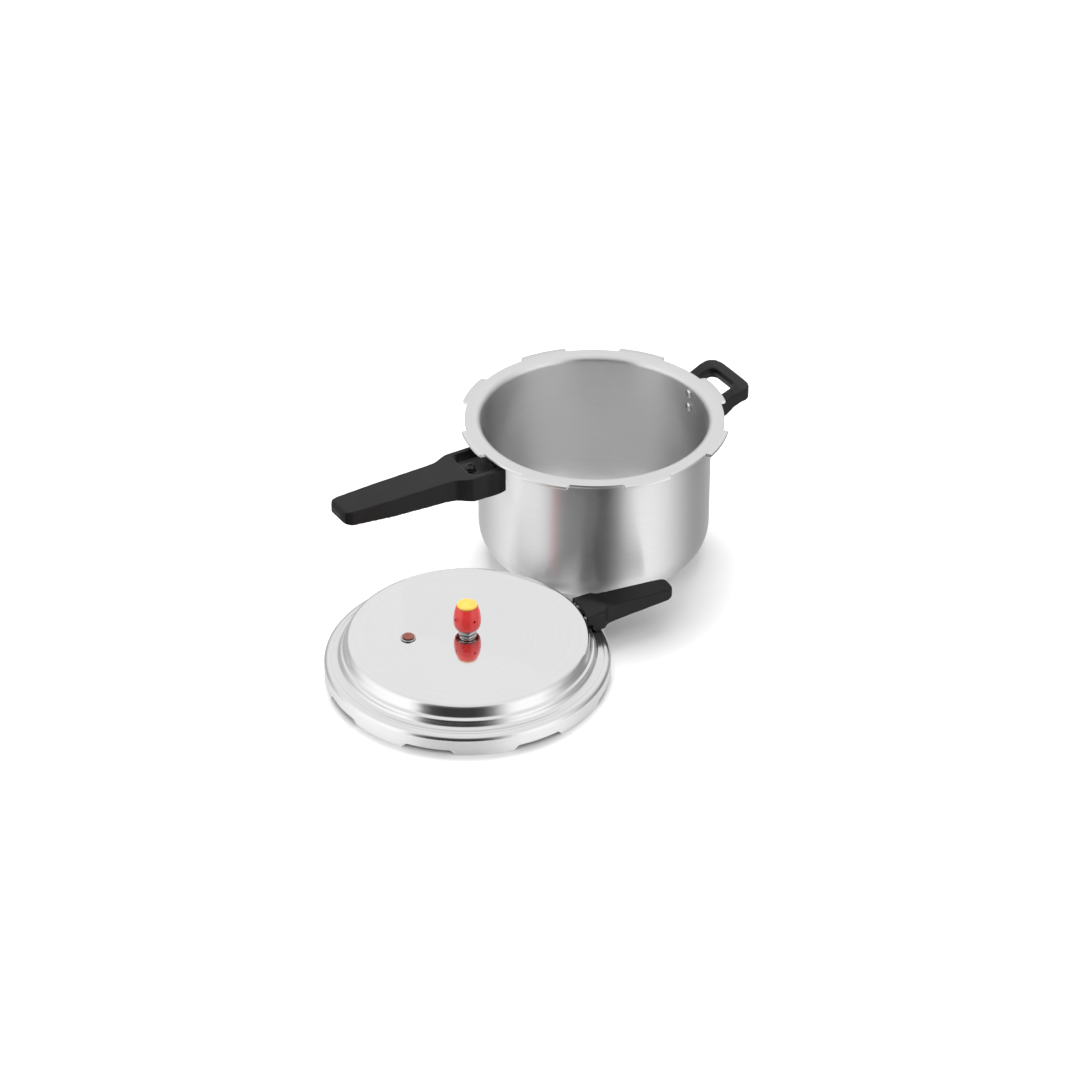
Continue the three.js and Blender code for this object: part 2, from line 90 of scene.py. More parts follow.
def arc(cx, cz, r, a0, a1, n):
    return [
        (cx + r * math.cos(rad(a0 + (a1 - a0) * i / n)), cz + r * math.sin(rad(a0 + (a1 - a0) * i / n)))
        for i in range(n + 1)
    ]


def fillet(points, radii, n=6, closed=True):
    """Corners of a polyline rounded off. radii is one number or one per point."""
    pts = [Vector(p) for p in points]
    k = len(pts)
    if not hasattr(radii, "__len__"):
        radii = [radii] * k
    out = []
    for i, p in enumerate(pts):
        r = radii[i]
        if r <= 0 or (not closed and i in (0, k - 1)):
            out.append(tuple(p))
            continue
        a, b = pts[i - 1] - p, pts[(i + 1) % k] - p
        la, lb = a.length, b.length
        a.normalize()
        b.normalize()
        ang = math.acos(max(-1, min(1, a.dot(b))))
        if ang > math.pi - 0.03:
            out.append(tuple(p))
            continue
        t = min(r / math.tan(ang / 2), la * 0.48, lb * 0.48)
        rr = t * math.tan(ang / 2)
        bis = (a + b).normalized()
        c = p + bis * (rr / math.sin(ang / 2))
        s, e = p + a * t - c, p + b * t - c
        tot = s.angle_signed(e)
        for j in range(n + 1):
            th = -tot * j / n
            out.append(
                (
                    c.x + s.x * math.cos(th) - s.y * math.sin(th),
                    c.y + s.x * math.sin(th) + s.y * math.cos(th),
                )
            )
    return out


def revolve(name, profile, seg=128, centre=(0, 0), closed=False, sharp=32.0, axis="z", at=(0, 0, 0), turn=0.0):
    """profile of (r, z). axis z: about Z through centre. axis x: z runs along +X, then turned by turn about Z."""
    prof = np.array(profile, float)
    k = len(prof)
    th = np.linspace(0, 2 * math.pi, seg, endpoint=False)
    verts, faces = [], []
    for t in th:
        c, s = math.cos(t), math.sin(t)
        for r, z in prof:
            verts.append((r * c, r * s, z))
    for i in range(seg):
        j = (i + 1) % seg
        for q in range(k if closed else k - 1):
            p = (q + 1) % k
            faces.append((i * k + q, j * k + q, j * k + p, i * k + p))
    v = np.array(verts)
    if axis == "x":
        v = np.stack([v[:, 2], v[:, 1], -v[:, 0]], 1)
    v = place(v, at, turn)
    v[:, 0] += centre[0]
    v[:, 1] += centre[1]
    return mesh_from(name, v, faces, sharp)


def place(v, at=(0, 0, 0), turn=0.0):
    v = np.array(v, float) + np.array(at, float)
    c, s = math.cos(rad(turn)), math.sin(rad(turn))
    return np.stack([v[:, 0] * c - v[:, 1] * s, v[:, 0] * s + v[:, 1] * c, v[:, 2]], 1)


def polar(name, theta, rows, centre=(0, 0), sharp=32.0, closed=False):
    """rows: list of (r(theta), z(theta)) arrays or numbers; a grid of rings joined in order."""
    n = len(theta)
    R = np.array([np.broadcast_to(np.asarray(r, float), (n,)) for r, z in rows])
    Z = np.array([np.broadcast_to(np.asarray(z, float), (n,)) for r, z in rows])
    X = R * np.cos(theta) + centre[0]
    Y = R * np.sin(theta) + centre[1]
    k = len(rows)
    verts = np.stack([X, Y, Z], -1).reshape(-1, 3)
    faces = []
    for q in range(k if closed else k - 1):
        p = (q + 1) % k
        for i in range(n):
            j = (i + 1) % n
            faces.append((q * n + i, q * n + j, p * n + j, p * n + i))
    return mesh_from(name, verts, faces, sharp)


def prism(name, outline, z0, z1):
    """A plain solid of a plan outline, the stock that the moulded shapes are cut from."""
    n = len(outline)
    v = [(x, y, z0) for x, y in outline] + [(x, y, z1) for x, y in outline]
    f = [tuple(range(n - 1, -1, -1)), tuple(range(n, 2 * n))]
    f += [(i, (i + 1) % n, n + (i + 1) % n, n + i) for i in range(n)]
    return raw(name, v, f)


def slab(name, outline, y0, y1):
    """A side outline (x, z) run from y0 to y1."""
    n = len(outline)
    v = [(x, y0, z) for x, z in outline] + [(x, y1, z) for x, z in outline]
    f = [tuple(range(n)), tuple(range(2 * n - 1, n - 1, -1))]
    f += [(n + i, n + (i + 1) % n, (i + 1) % n, i) for i in range(n)]
    return raw(name, v, f)


def raw(name, v, f):
    me = bpy.data.meshes.new(name)
    me.from_pydata([tuple(p) for p in np.asarray(v, float) * MM], [], f)
    bm = bmesh.new()
    bm.from_mesh(me)
    bmesh.ops.recalc_face_normals(bm, faces=bm.faces)
    bm.to_mesh(me)
    bm.free()
    return link(name, me)


def hull(name, points):
    bm = bmesh.new()
    for q in points:
        bm.verts.new([c * MM for c in q])
    bmesh.ops.convex_hull(bm, input=bm.verts)
    bmesh.ops.recalc_face_normals(bm, faces=bm.faces)
    me = bpy.data.meshes.new(name)
    bm.to_mesh(me)
    bm.free()
    return link(name, me)


def drum(name, r, z0, z1, at=(0, 0), seg=96):
    o = [(at[0] + r * math.cos(2 * math.pi * i / seg), at[1] + r * math.sin(2 * math.pi * i / seg)) for i in range(seg)]
    return prism(name, o, z0, z1)


def drum_x(name, r, x0, x1, z, y=0.0, seg=32):
    v = []
    for x in (x0, x1):
        v += [(x, y + r * math.cos(2 * math.pi * i / seg), z + r * math.sin(2 * math.pi * i / seg)) for i in range(seg)]
    f = [tuple(range(seg - 1, -1, -1)), tuple(range(seg, 2 * seg))]
    f += [(i, (i + 1) % seg, seg + (i + 1) % seg, seg + i) for i in range(seg)]
    return raw(name, v, f)


def block(name, x0, x1, y0, y1, z0, z1):
    return prism(name, [(x0, y0), (x1, y0), (x1, y1), (x0, y1)], z0, z1)


def wedge(name, r0, r1, c, w, z0, z1, n=10):
    a = [rad(c - w / 2 + w * i / n) for i in range(n + 1)]
    o = [(r1 * math.cos(t), r1 * math.sin(t)) for t in a] + [(r0 * math.cos(t), r0 * math.sin(t)) for t in reversed(a)]
    return prism(name, o, z0, z1)


def boolean(ob, tool, op="DIFFERENCE"):
    m = ob.modifiers.new("b", "BOOLEAN")
    m.object, m.operation, m.solver = tool, op, "EXACT"
    bake(ob)
    bpy.data.objects.remove(tool)
    return ob


def bake(ob):
    dg = bpy.context.evaluated_depsgraph_get()
    me = bpy.data.meshes.new_from_object(ob.evaluated_get(dg))
    old = ob.data
    ob.modifiers.clear()
    ob.data = me
    bpy.data.meshes.remove(old)
    return ob


def moulded(ob, voxel=0.6, passes=10, factor=0.5):
    """Sharp stock turned into a moulding: a fine even skin with its edges softened."""
    m = ob.modifiers.new("r", "REMESH")
    m.mode, m.voxel_size, m.use_smooth_shade = "VOXEL", voxel * MM, True
    s = ob.modifiers.new("s", "SMOOTH")
    s.factor, s.iterations = factor, passes
    bake(ob)
    ob.data.polygons.foreach_set("use_smooth", [True] * len(ob.data.polygons))
    return ob


def move(ob, turn=0.0, at=(0, 0, 0)):
    ob.data.transform(Matrix.Translation(Vector(at) * MM) @ Matrix.Rotation(rad(turn), 4, "Z"))
    ob.data.update()
    return ob


def bevelled(ob, width=0.4, segments=3, angle=35.0, sharp=40.0):
    m = ob.modifiers.new("v", "BEVEL")
    m.width, m.segments, m.limit_method, m.angle_limit = width * MM, segments, "ANGLE", rad(angle)
    m.use_clamp_overlap = True
    bake(ob)
    smooth(ob.data, sharp)
    return ob


# ------------------------------------------------------------------ materials
class Mat:
    """A small helper round a principled material's node tree."""

    def __init__(self, name):
        self.m = bpy.data.materials.new(name)
        self.m.use_nodes = True
        self.t = self.m.node_tree
        self.p = next(n for n in self.t.nodes if n.type == "BSDF_PRINCIPLED")

    def node(self, kind, **props):
        n = self.t.nodes.new(kind)
        for k, v in props.items():
            setattr(n, k, v)
        return n

    def link(self, a, b):
        self.t.links.new(a, b)

    def math(self, op, a, b=None, clamp=False):
        n = self.node("ShaderNodeMath", operation=op, use_clamp=clamp)
        for i, x in enumerate((a, b)):
            if x is None:
                continue
            if isinstance(x, (int, float)):
                n.inputs[i].default_value = x
            else:
                self.link(x, n.inputs[i])
        return n.outputs[0]

    def ramp(self, fac, stops):
        n = self.node("ShaderNodeValToRGB")
        el = n.color_ramp.elements
        while len(el) > 1:
            el.remove(el[-1])
        for i, (pos, col) in enumerate(stops):
            e = el[0] if i == 0 else el.new(pos)
            e.position = pos
            e.color = (col[0], col[1], col[2], 1) if hasattr(col, "__len__") else (col, col, col, 1)
        self.link(fac, n.inputs[0])
        return n.outputs[0]

    def coords(self, centre=(0, 0, 0)):
        tc = self.node("ShaderNodeTexCoord")
        v = self.node("ShaderNodeVectorMath", operation="SUBTRACT")
        self.link(tc.outputs["Object"], v.inputs[0])
        v.inputs[1].default_value = [c * MM for c in centre]
        return v.outputs[0]

    def noise(self, vec, scale, detail=4, rough=0.55, dist=0.0):
        n = self.node("ShaderNodeTexNoise")
        n.inputs["Scale"].default_value = scale
        n.inputs["Detail"].default_value = detail
        n.inputs["Roughness"].default_value = rough
        n.inputs["Distortion"].default_value = dist
        self.link(vec, n.inputs["Vector"])
        return n.outputs["Fac"]

    def noise1(self, w, detail=6):
        n = self.node("ShaderNodeTexNoise", noise_dimensions="1D")
        n.inputs["Scale"].default_value = 1.0
        n.inputs["Detail"].default_value = detail
        n.inputs["Roughness"].default_value = 0.65
        self.link(w, n.inputs["W"])
        return n.outputs["Fac"]

    def bump(self, height, strength, distance, normal=None):
        n = self.node("ShaderNodeBump")
        n.inputs["Strength"].default_value = strength
        n.inputs["Distance"].default_value = distance
        self.link(height, n.inputs["Height"])
        if normal is not None:
            self.link(normal, n.inputs["Normal"])
        return n.outputs[0]

    def set(self, **kw):
        for k, v in kw.items():
            s = self.p.inputs[k.replace("_", " ")]
            if hasattr(v, "is_linked") or isinstance(v, bpy.types.NodeSocket):
                self.link(v, s)
            else:
                s.default_value = v
        return self


def spun_metal(name, base, centre, rough, spread=0.06, aniso=0.0, lines=1.0, tint=0.03, line_bump=0.06):
    """Metal turned on a lathe: fine rings about the axis, soft handling marks, slightly uneven polish."""
    m = Mat(name)
    v = m.coords(centre)
    sep = m.node("ShaderNodeSeparateXYZ")
    m.link(v, sep.inputs[0])
    r2 = m.math("ADD", m.math("MULTIPLY", sep.outputs[0], sep.outputs[0]), m.math("MULTIPLY", sep.outputs[1], sep.outputs[1]))
    r = m.math("SQRT", r2)
    along = m.math("ADD", r, m.math("MULTIPLY", sep.outputs[2], 1.3))
    fine = m.noise1(m.math("MULTIPLY", along, 2600.0), 5)
    wide = m.noise1(m.math("MULTIPLY", along, 240.0), 3)
    cloud = m.noise(v, 14.0, 5, 0.6, 0.4)
    wear = m.noise(v, 90.0, 6, 0.7, 0.2)
    mix = m.math("ADD", m.math("MULTIPLY", fine, 0.5 * lines), m.math("MULTIPLY", wide, 0.5 * lines))
    ro = m.math("ADD", m.math("MULTIPLY", m.math("SUBTRACT", mix, 0.5 * lines), spread * 1.2), rough)
    ro = m.math("ADD", ro, m.math("MULTIPLY", m.math("SUBTRACT", cloud, 0.5), spread * 1.6))
    ro = m.math("ADD", ro, m.math("MULTIPLY", m.math("SUBTRACT", wear, 0.5), spread * 0.8), clamp=True)
    lo = [c * (1 - tint) for c in base]
    hi = [min(1, c * (1 + tint)) for c in base]
    col = m.ramp(m.math("ADD", m.math("MULTIPLY", cloud, 0.5), m.math("MULTIPLY", wide, 0.5)), [(0.3, lo), (0.7, hi)])
    h = m.math("ADD", m.math("MULTIPLY", fine, 0.7), m.math("MULTIPLY", wide, 0.3))
    m.set(Base_Color=col, Roughness=ro, Metallic=1.0)
    m.set(Normal=m.bump(h, line_bump, 0.0002))
    if aniso:
        m.set(Anisotropic=aniso, Anisotropic_Rotation=0.25)
        tn = m.node("ShaderNodeTangent", direction_type="RADIAL", axis="Z")
        m.link(tn.outputs[0], m.p.inputs["Tangent"])
    return m.m


def plain_metal(name, base, rough, scale=600.0, grain=0.05):
    m = Mat(name)
    v = m.coords()
    a = m.noise(v, scale, 5, 0.6)
    b = m.noise(v, 60.0, 4, 0.6)
    ro = m.math("ADD", m.math("MULTIPLY", m.math("SUBTRACT", a, 0.5), 0.18), rough)
    ro = m.math("ADD", ro, m.math("MULTIPLY", m.math("SUBTRACT", b, 0.5), 0.15), clamp=True)
    col = m.ramp(b, [(0.3, [c * 0.9 for c in base]), (0.7, base)])
    m.set(Base_Color=col, Roughness=ro, Metallic=1.0, Normal=m.bump(a, grain, 0.0001))
    return m.m


def phenolic(name):
    """Black phenolic moulding: satin, faint flow mottling, slightly brighter rubbed patches."""
    m = Mat(name)
    v = m.coords()
    grain = m.noise(v, 1500.0, 3, 0.6)
    mottle = m.noise(v, 45.0, 6, 0.65, 0.6)
    rub = m.noise(v, 130.0, 5, 0.6, 0.3)
    col = m.ramp(mottle, [(0.25, (0.0055, 0.0055, 0.006)), (0.55, (0.0075, 0.0075, 0.008)), (0.8, (0.0115, 0.0115, 0.012))])
    ro = m.math("ADD", m.math("MULTIPLY", m.math("SUBTRACT", mottle, 0.5), 0.22), 0.40)
    ro = m.math("ADD", ro, m.math("MULTIPLY", m.math("SUBTRACT", rub, 0.5), 0.14), clamp=True)
    n1 = m.bump(rub, 0.05, 0.0006)
    m.set(Base_Color=col, Roughness=ro, Normal=m.bump(grain, 0.10, 0.00012, n1))
    m.set(IOR=1.5, Specular_IOR_Level=0.24)
    return m.m


def plastic(name, dark, light, rough, coat=0.0, grain=0.04, sub=0.0):
    m = Mat(name)
    v = m.coords()
    a = m.noise(v, 900.0, 4, 0.6)
    b = m.noise(v, 120.0, 5, 0.6, 0.4)
    col = m.ramp(b, [(0.3, dark), (0.75, light)])
    ro = m.math("ADD", m.math("MULTIPLY", m.math("SUBTRACT", b, 0.5), 0.2), rough, clamp=True)
    m.set(Base_Color=col, Roughness=ro, Normal=m.bump(a, grain, 0.0001))
    m.set(IOR=1.5)
    if coat:
        m.set(Coat_Weight=coat, Coat_Roughness=0.12)
    if sub:
        m.set(Subsurface_Weight=sub, Subsurface_Scale=0.002)
    return m.m


def rubber(name, dark, light, rough=0.7):
    m = Mat(name)
    v = m.coords()
    a = m.noise(v, 700.0, 5, 0.7)
    b = m.noise(v, 80.0, 4, 0.6, 0.5)
    col = m.ramp(b, [(0.3, dark), (0.8, light)])
    ro = m.math("ADD", m.math("MULTIPLY", m.math("SUBTRACT", a, 0.5), 0.25), rough, clamp=True)
    m.set(Base_Color=col, Roughness=ro, Normal=m.bump(a, 0.25, 0.0002))
    return m.m


LC = (LID_X, LID_Y, 0)
M_POT_OUT = spun_metal("pot_outside_spun", (0.86, 0.86, 0.865), (0, 0, 0), 0.40, 0.05, aniso=0.96, line_bump=0.03)
M_POT_IN = spun_metal("pot_inside_spun", (0.84, 0.84, 0.845), (0, 0, 0), 0.31, 0.05, aniso=0.95, line_bump=0.035)
M_FLANGE = spun_metal("flange_turned", (0.82, 0.82, 0.825), (0, 0, 0), 0.38, 0.05, aniso=0.3, line_bump=0.05)
M_LID = spun_metal("lid_polished", (0.86, 0.86, 0.865), LC, 0.09, 0.03, aniso=0.0, lines=1.0, tint=0.015, line_bump=0.012)
M_LID_SIDE = spun_metal("lid_side_polished", (0.84, 0.84, 0.845), LC, 0.16, 0.04, aniso=0.35, tint=0.02, line_bump=0.03)
M_LID_UNDER = spun_metal("lid_underside_satin", (0.74, 0.74, 0.745), LC, 0.40, 0.06, aniso=0.4, line_bump=0.06)
M_SKIRT = spun_metal("lid_skirt_satin", (0.88, 0.88, 0.885), LC, 0.36, 0.05, aniso=0.0, tint=0.02, line_bump=0.04)
next(n for n in M_SKIRT.node_tree.nodes if n.type == "BSDF_PRINCIPLED").inputs["Metallic"].default_value = 0.35
M_RIVET = plain_metal("rivet_satin", (0.80, 0.80, 0.80), 0.24, 500.0)
M_STEEL = plain_metal("bright_zinc_steel", (0.62, 0.62, 0.63), 0.28, 800.0)
# near-black steel for the long handle's bracket, washer and screw: painted shade standing in for the shadow in the deep
# pocket they sit in
M_POCKET_SHADE = plain_metal("near_black_steel_painted_pocket_shade", (0.055, 0.055, 0.057), 0.42, 700.0)
M_BRASS = plain_metal("turned_brass", (0.72, 0.57, 0.32), 0.26, 700.0)
M_BLACK = phenolic("black_phenolic_moulding")
M_RED = plastic("red_weight_plastic", (0.80, 0.030, 0.030), (0.93, 0.050, 0.046), 0.30, coat=0.35)
M_YELLOW = plastic("yellow_cap_plastic", (0.74, 0.43, 0.05), (0.86, 0.56, 0.10), 0.34, coat=0.2)
M_PLUG = rubber("brown_plug_silicone", (0.20, 0.055, 0.04), (0.31, 0.095, 0.065), 0.5)
M_GASKET = rubber("black_gasket_rubber", (0.018, 0.018, 0.018), (0.034, 0.034, 0.034), 0.66)
# near-black finish for the discs behind the weight's ports: painted shade inside the holes
M_PORT_SHADE = rubber("painted_port_shade", (0.006, 0.006, 0.006), (0.012, 0.012, 0.012), 0.8)


def dress(ob, mats, pick=None):
    ob.data.materials.clear()
    for m in mats if isinstance(mats, (list, tuple)) else [mats]:
        ob.data.materials.append(m)
    if pick:
        me = ob.data
        n = len(me.polygons)
        c = np.empty(n * 3)
        me.polygons.foreach_get("center", c)
        nn = np.empty(n * 3)
        me.polygons.foreach_get("normal", nn)
        idx = pick(c.reshape(-1, 3) / MM, nn.reshape(-1, 3))
        me.polygons.foreach_set("material_index", np.asarray(idx, np.int32))
    return ob


def finish_piece(ob, body, nodes):
    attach(ob, body)
    if nodes:
        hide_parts(*([nodes] if isinstance(nodes, str) else nodes))
    return ob


# ------------------------------------------------------------------ pot body
def lug_outline(count, width_deg, phase_deg, lo, hi, corner_mm, base_r, extra=8, even=360):
    """Angles packed closely at each lug's ends, and how far out the edge stands at each: 0 between lugs, 1 on one."""
    half_w = rad(width_deg / 2)
    soft = corner_mm / base_r
    th = list(np.linspace(0, 2 * math.pi, even, endpoint=False))
    for k in range(count):
        c = rad(phase_deg + 360.0 * k / count)
        for s in (-1, 1):
            e = c + s * half_w
            th += list(e + np.linspace(-soft, soft, extra))
    th = np.unique(np.round(np.mod(th, 2 * math.pi), 6))
    f = np.zeros(len(th))
    for k in range(count):
        c = rad(phase_deg + 360.0 * k / count)
        d = np.abs((th - c + math.pi) % (2 * math.pi) - math.pi)
        x = np.clip((half_w + soft - d) / (2 * soft), 0, 1)
        f = np.maximum(f, x * x * (3 - 2 * x))
    return th, f


def build_pot():
    th, f = lug_outline(8, 21, -9, FLANGE_R, LUG_R, 0.9, LUG_R, extra=9, even=384)
    edge = FLANGE_R + (LUG_R - FLANGE_R) * f
    cx = POT_R - CORNER_R
    prof = [(0, 0.9), (40, 0.9), (58, 0.8), (64, 0.25), (67, 0.0), (cx, 0.0)]
    prof += arc(cx, CORNER_R, CORNER_R, -88, 0, 22)
    prof += [(POT_R, z) for z in (45, 60, 80, 100, 118, 130)]
    prof += [(POT_R, 134.6), (POT_R + 0.25, 135.9), (POT_R + 1.0, 136.8), (POT_R + 1.9, POT_H - FLANGE_T)]
    rows = [(r, z) for r, z in prof]
    rows += [(110, POT_H - 3.0), (FLANGE_R - 1.5, POT_H - 3.0)]
    rows += [(edge - 0.55, POT_H - 3.0), (edge - 0.2, POT_H - 2.9), (edge, POT_H - 2.5)]
    rows += [(edge, POT_H - 0.7), (edge - 0.18, POT_H - 0.22), (edge - 0.7, POT_H)]
    rows += [(FLANGE_R - 1.6, POT_H), (LIP_R + 3, POT_H), (LIP_R + 0.9, POT_H)]
    rows += [(LIP_R, POT_H - 0.02)]
    # rounded bright lip rolling in to the wall
    rows += [(IN_R + 5.5 - 5.5 * math.sin(rad(a)), POT_H - 5.5 + 5.5 * math.cos(rad(a))) for a in (8, 18, 29, 41, 53, 65, 77, 90)]
    rows += [(IN_R, z) for z in (126, 110, 90, 70, 50)]
    inner = CORNER_R - WALL
    rows += [(r, z) for r, z in arc(cx, CORNER_R, inner, 0, -88, 20)]
    rows += [(68, WALL), (66.2, WALL + 0.05), (65.6, WALL + 0.55), (64.6, WALL + 0.8), (50, WALL + 0.8), (25, WALL + 0.75), (0, WALL + 0.7)]
    ob = polar("pot_body_spun", th, rows, sharp=38)

    def pick(c, n):
        r = np.hypot(c[:, 0], c[:, 1])
        flange = (c[:, 2] > POT_H - 3.2) & (r > LIP_R - 0.6)
        inside = (~flange) & (((r < IN_R + 8.2) & (c[:, 2] > 132.5) & (r < POT_R - 0.0) & (n[:, 2] > -0.2) & (c[:, 2] > POT_H - 7.2)) | ((r < IN_R + 0.3) & (c[:, 2] > 2.4) & ((n[:, 0] * c[:, 0] + n[:, 1] * c[:, 1] < 0) | (n[:, 2] > 0.5))))
        lip = (c[:, 2] > POT_H - 7.1) & (r < LIP_R) & (n[:, 2] > 0.02)
        return np.where(flange, 2, np.where(inside | lip, 1, 0))

    dress(ob, [M_POT_OUT, M_POT_IN, M_FLANGE], pick)
    return finish_piece(ob, "pot", "pot_body")


build_pot()


# ------------------------------------------------------------------ lid shell
def dome(r):
    return CROWN_Z - (CROWN_Z - DOME_EDGE_Z - 1.5) * (r * r) / (DOME_R * DOME_R)


def build_lid():
    th, f = lug_outline(8, 25, 21, 0, 1, 2.6, SKIRT_R, extra=9, even=384)
    th2, _ = lug_outline(8, 20, 21, 0, 1, 0.8, HOOK_IN, extra=7, even=8)
    th = np.unique(np.round(np.concatenate([th, th2]), 6))

    def shape(width, soft_mm, r):
        hw, soft = rad(width / 2), soft_mm / r
        out = np.zeros(len(th))
        for k in range(8):
            c = rad(21 + 45 * k)
            d = np.abs((th - c + math.pi) % (2 * math.pi) - math.pi)
            x = np.clip((hw + soft - d) / (2 * soft), 0, 1)
            out = np.maximum(out, x)
        return out

    tab = shape(25, 2.6, SKIRT_R)
    tab = tab * tab * (3 - 2 * tab) * 0.5 + tab * 0.5
    hook = shape(20, 0.8, HOOK_IN)
    low = NOTCH_Z * (1 - tab)
    hr = SKIRT_IN + (HOOK_IN - SKIRT_IN) * hook
    rows = [(5.35, CROWN_Z - 0.05)]
    rows += [(r, dome(r)) for r in (9, 14, 20, 28, 36, 44, 52, 60, 68, 76, 84, 90, 95, 99)]
    # turned-over edge of the dome
    rows += [(101.6, dome(101) - 0.12), (103.0, 38.0), (104.3, 37.35), (105.35, 36.4), (106.2, 35.1), (106.75, 33.6), (107.0, 32.2)]
    rows += [(107.35, 30.0), (107.7, 28.4), (108.1, 27.3), (108.9, 26.6), (109.7, 26.35)]
    # first step
    rows += [(110.4, 26.1), (110.95, 25.6), (111.25, 24.8), (111.35, 23.8), (111.5, 22.0), (111.8, 20.9), (112.6, 19.9), (113.8, 19.25), (115.2, 18.95)]
    # shoulder with a shallow groove
    rows += [(117.0, 18.85), (118.0, 18.75), (118.4, 18.5), (118.9, 18.5), (119.3, 18.75), (121.2, 18.55), (122.6, 18.1), (123.8, 17.3), (124.6, 16.1), (125.0, 14.6)]
    rows += [(SKIRT_R, 12.2), (SKIRT_R, 8.0)]
    rows += [(SKIRT_R, low * 0.5 + 0.5 * 6.0), (SKIRT_R, low + 0.45), (SKIRT_R - 0.15, low + 0.12), (SKIRT_R - 0.5, low)]
    rows += [(SKIRT_IN + 0.3, low)]
    rows += [(hr + 0.35, low), (hr, low + 0.3)]
    top = np.maximum(HOOK_T, low + 0.7)
    rows += [(hr, top - 0.3), (hr + 0.3, top), (SKIRT_IN - 0.05, top)]
    rows += [(SKIRT_IN, top + 0.4), (SKIRT_IN, 13.6), (122.5, 15.4), (121.4, 16.5), (119.5, 16.6), (113.6, 16.6), (111.4, 17.3), (109.8, 19.2), (109.2, 21.5)]
    rows += [(108.6, 23.6), (107.4, 24.4), (106.2, 25.2), (105.6, 27.0), (105.2, 30.0), (104.9, 32.6), (104.2, 34.6), (102.8, 35.9), (100.5, dome(100.5) - 2.0)]
    rows += [(r, dome(r) - 2.0) for r in (90, 76, 60, 44, 28, 14, 5.35)]
    ob = polar("lid_shell_spun", th, rows, centre=(LID_X, LID_Y), sharp=34, closed=True)

    def pick(c, n):
        x, y = c[:, 0] - LID_X, c[:, 1] - LID_Y
        r = np.hypot(x, y)
        out = n[:, 0] * x + n[:, 1] * y
        upper = (n[:, 2] > 0.05) | ((out > 0) & (r > 104.5))
        under = ~upper
        domed = upper & (r < 107.6) & (c[:, 2] > 26)
        skirt = (~under) & (r > 124.2) & (c[:, 2] < 14.8)
        return np.where(under, 2, np.where(domed, 0, np.where(skirt, 3, 1)))

    dress(ob, [M_LID, M_LID_SIDE, M_LID_UNDER, M_SKIRT], pick)
    return finish_piece(ob, "lid", "lid_shell")


build_lid()

# ------------------------------------------------------------------ gasket, a lipped ring
g = revolve(
    "lid_gasket_ring",
    fillet([(109.9, 7.1), (118.4, 7.0), (120.3, 9.0), (120.3, 16.1), (113.7, 16.1), (113.3, 12.2), (109.9, 9.6)], [0.5, 0.9, 1.0, 0.9, 0.9, 1.2, 0.6], 4),
    256, (LID_X, LID_Y), closed=True, sharp=60,
)
dress(g, M_GASKET)
finish_piece(g, "gasket", "lid_gasket")


# ------------------------------------------------------------------ moulded handles
def mirror(pts):
    return list(pts) + [(x, -y) for x, y in reversed(pts)]


def build_long_handle():
    plan = mirror([
        (107, 23.5), (114, 24.5), (141, 24.5), (147, 22.3), (155, 18.3), (165, 17.5),
        (220, 16.65), (257, 15), (263, 13), (266, 8),
    ])
    radii = [0, 4, 7, 14, 16, 25, 60, 8, 5, 5] + [5, 5, 8, 60, 25, 16, 14, 7, 4, 0]
    ob = prism("long_handle_moulded", fillet(plan, radii, 8), 104, LH_TOP)
    side = [(104, LH_TOP), (104, 109.2), (118, 108.6), (140, 109.3), (152, 111.5), (165, 112.8), (215, 115.3), (258, 119), (264, 121.5), (267, 126), (267, 130), (262, LH_TOP)]
    boolean(ob, slab("c", fillet(side, [0, 0, 10, 20, 20, 30, 80, 10, 4, 3, 2, 3], 8), -40, 40), "INTERSECT")
    # the pocket behind the flange
    pocket = fillet(mirror([(100, 19.5), (133, 19.5), (137.5, 17.5), (139, 13)]), [0, 3, 3, 3, 3, 3, 3, 0], 5)
    boolean(ob, prism("c", pocket, 124, 150))
    boolean(ob, drum("c", POT_R + 0.6, 100, 150, seg=192))
    boolean(ob, wedge("c", POT_R - 1, 110.4, 0, 15.4, 110.9, 150))
    boolean(ob, drum("c", 2.9, 117, 128, at=(LH_SCREW_X, 0), seg=32))
    moulded(ob, 0.55, 9, 0.5)
    move(ob, 180)
    dress(ob, M_BLACK)
    ob.visible_glossy = False  # the pictured lid mirrors only the studio
    return finish_piece(ob, "pot", "long_handle")


